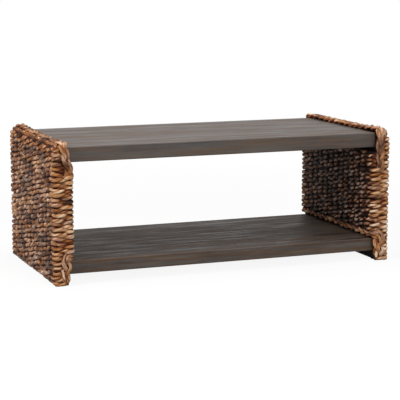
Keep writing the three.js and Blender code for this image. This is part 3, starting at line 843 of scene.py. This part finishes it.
# Grey-brown stained hardwood: darker in the brushed-out pores and in long bands of late wood, and rubbed
# paler along the upper edges. Matt lacquer leaves a faint sheen at a low angle.
def brushed_stained_wood(name, top, sheen, lift):
    """Three noises stretched along X, broad bands, streaks and pores, weighed into one stain and one relief.

    A fourth one sets how grey or brown each patch is. The wear is how near Y is to the long edges times how
    near Z is to the top, times the streaks.
    """
    material, tree, place = start_material(name)
    layers = [
        stretched_noise(tree, place, (reach, width, width), detail, (0, 0, grain_start * top[2]))
        for width, reach, detail, _ in board_bands
    ]
    # The lift is painted light, set for each board by how much light reaches it
    total = weigh(tree, layers, [share for *_, share in board_bands], lift)
    stain = set_ramp(add_node(tree, "ShaderNodeValToRGB", {"Fac": total}), board_colours)
    start = (patch_start, patch_start, grain_start / 2 * top[2])
    brown = add_node(tree, "ShaderNodeMapRange", {
        "Value": stretched_noise(tree, place, board_patch, 2.0, start),
        "From Min": 0.35, "From Max": 0.65, "To Min": 0.55, "To Max": 1.5,
    })
    inputs = {"Saturation": brown.outputs[0], "Color": stain}
    stain = add_node(tree, "ShaderNodeHueSaturation", inputs).outputs[0]
    axes = add_node(tree, "ShaderNodeSeparateXYZ", {"Vector": place}).outputs
    across = add_node(tree, "ShaderNodeMath", {0: axes["Y"]}, operation="ABSOLUTE").outputs[0]
    near = 1.0
    for value, limit in ((across, top[1]), (axes["Z"], top[2])):
        inputs = {"Value": value, "From Min": limit - worn_edge_width, "From Max": limit}
        rubbed = add_node(tree, "ShaderNodeMapRange", inputs).outputs[0]
        near = add_node(tree, "ShaderNodeMath", {0: rubbed, 1: near}, operation="MULTIPLY").outputs[0]
    wear = add_node(tree, "ShaderNodeMath", {0: near, 1: layers[1]}, operation="MULTIPLY", use_clamp=True)
    inputs = {0: wear.outputs[0], 6: stain, 7: linear(worn_edge)}
    worn = add_node(tree, "ShaderNodeMix", inputs, data_type="RGBA").outputs[2]
    rough = add_node(tree, "ShaderNodeMapRange", {
        "Value": total, "From Min": 0.50, "From Max": 0.66, "To Min": 0.42, "To Max": 0.78,
    }).outputs[0]
    relief = add_node(tree, "ShaderNodeBump", {"Height": total, "Distance": board_relief, "Strength": 0.5})
    finish_surface(tree, {
        "Base Color": worn, "Roughness": rough, "Normal": relief.outputs["Normal"],
        "IOR": 1.45, "Specular IOR Level": sheen,
    })
    return material


# Each board has its own copy of the stain, with its own sheen and painted light
for name in board_sheen:
    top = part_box(name)[1]
    finish = f"brushed_grey_brown_hardwood_{name}"
    dress(name, brushed_stained_wood(finish, top, board_sheen[name], board_painted_light[name]))


# Floor and light: a white studio floor that keeps the table's shadow and a white surround. A large soft light
# stands high on the left, where the top board keeps it off the inner faces, one is in front and one overhead.
floor_reach = 5.0
floor_corners = 96
floor_fade = (0.9, 2.6)  # metres from the middle
floor_paint = ("#9A9A9A", "#F8F8F8")  # as it lights the table, and as it is seen
surround_strength = (0.2, 1.0)  # likewise
softboxes = {  # place, aim, side and power
    "key_softbox": ((-3.2, -0.9, 2.3), (0, 0, 0.25), 1.4, 95),
    "front_softbox": ((0.3, -3.6, 1.7), (0, 0, 0.25), 1.6, 75),
    "top_softbox": ((0.2, 0.2, 3.0), (0, 0, 0.3), 2.0, 40),
}


def seen_directly(tree):
    """1 for rays from the camera, off gloss and through glass, and 0 for those that light the table."""
    rays = add_node(tree, "ShaderNodeLightPath").outputs
    seen = rays["Is Camera Ray"]
    for kind in ("Is Glossy Ray", "Is Transmission Ray"):
        seen = add_node(tree, "ShaderNodeMath", {0: seen, 1: rays[kind]}, operation="MAXIMUM").outputs[0]
    return seen


def white_floor(name):
    """White paint that fades into plain white with distance, so that its rim melts into the surround.

    The share of plain white goes from 0.9 to 1, and is 0 for light that falls on the table.
    """
    material, tree, place = start_material(name)
    distance = add_node(tree, "ShaderNodeVectorMath", {0: place}, operation="LENGTH")
    fade = add_node(tree, "ShaderNodeMapRange", {
        "Value": distance.outputs["Value"], "From Min": floor_fade[0], "From Max": floor_fade[1],
        "To Min": 0.9, "To Max": 1.0,
    })
    seen = seen_directly(tree)
    share = add_node(tree, "ShaderNodeMath", {0: seen, 1: fade.outputs[0]}, operation="MULTIPLY")
    inputs = {0: seen, 6: linear(floor_paint[0]), 7: linear(floor_paint[1])}
    tint = add_node(tree, "ShaderNodeMix", inputs, data_type="RGBA")
    paint = add_node(tree, "ShaderNodeBsdfDiffuse", {"Color": tint.outputs[2]})
    glow = add_node(tree, "ShaderNodeEmission", {"Color": linear("#FFFFFF"), "Strength": 1.0})
    inputs = {0: share.outputs[0], 1: paint.outputs[0], 2: glow.outputs[0]}
    mix = add_node(tree, "ShaderNodeMixShader", inputs)
    add_node(tree, "ShaderNodeOutputMaterial", {"Surface": mix.outputs[0]})
    return material


def soft_light(name, place, aim, size, power):
    """A square area light at a place, turned so that its -Z axis points at the aim."""
    lamp = bpy.data.lights.new(name, "AREA")
    lamp.energy = power
    lamp.size = size
    light = bpy.data.objects.new(name, lamp)
    bpy.context.scene.collection.objects.link(light)
    way = np.subtract(aim, place)
    light.location = place
    light.rotation_euler = (
        math.atan2(math.hypot(way[0], way[1]), -way[2]), 0, math.atan2(way[0], -way[1]) + math.pi
    )


floor_mesh = bpy.data.meshes.new("studio_floor")
around = np.linspace(0, 2 * math.pi, floor_corners, endpoint=False)
rim = floor_reach * np.stack([np.cos(around), np.sin(around), 0 * around], -1)
floor_mesh.from_pydata(rim.tolist(), [], [list(range(floor_corners))])
floor_mesh.materials.append(white_floor("white_studio_floor"))
floor = bpy.data.objects.new("studio_floor", floor_mesh)
bpy.context.scene.collection.objects.link(floor)

world = bpy.data.worlds.new("white_surround")
bpy.context.scene.world = world
world.use_nodes = True
tree = world.node_tree
tree.nodes.clear()
inputs = {"Value": seen_directly(tree), "To Min": surround_strength[0], "To Max": surround_strength[1]}
strength = add_node(tree, "ShaderNodeMapRange", inputs).outputs[0]
surround = add_node(tree, "ShaderNodeBackground", {"Color": linear("#FFFFFF"), "Strength": strength})
add_node(tree, "ShaderNodeOutputWorld", {"Surface": surround.outputs[0]})

for name, (place, aim, size, power) in softboxes.items():
    soft_light(name, place, aim, size, power)


# Camera: a long lens in front of the table's left half, a little above the tabletop, as the photograph was
# taken. Its place and angles were fitted to the boards' edges and the panels' outlines.
camera_dip = 0.1623  # radians below the horizon
camera_turn = -0.3689  # radians from looking along Y
camera_data = bpy.data.cameras.new("camera")
camera_data.sensor_width = 36
camera_data.lens = 127.2
camera = bpy.data.objects.new("camera", camera_data)
bpy.context.scene.collection.objects.link(camera)
camera.location = (-1.7892, -4.6469, 1.0222)
camera.rotation_euler = (math.pi / 2 - camera_dip, 0, camera_turn)
bpy.context.scene.camera = camera
bpy.context.scene.view_settings.view_transform = "Standard"
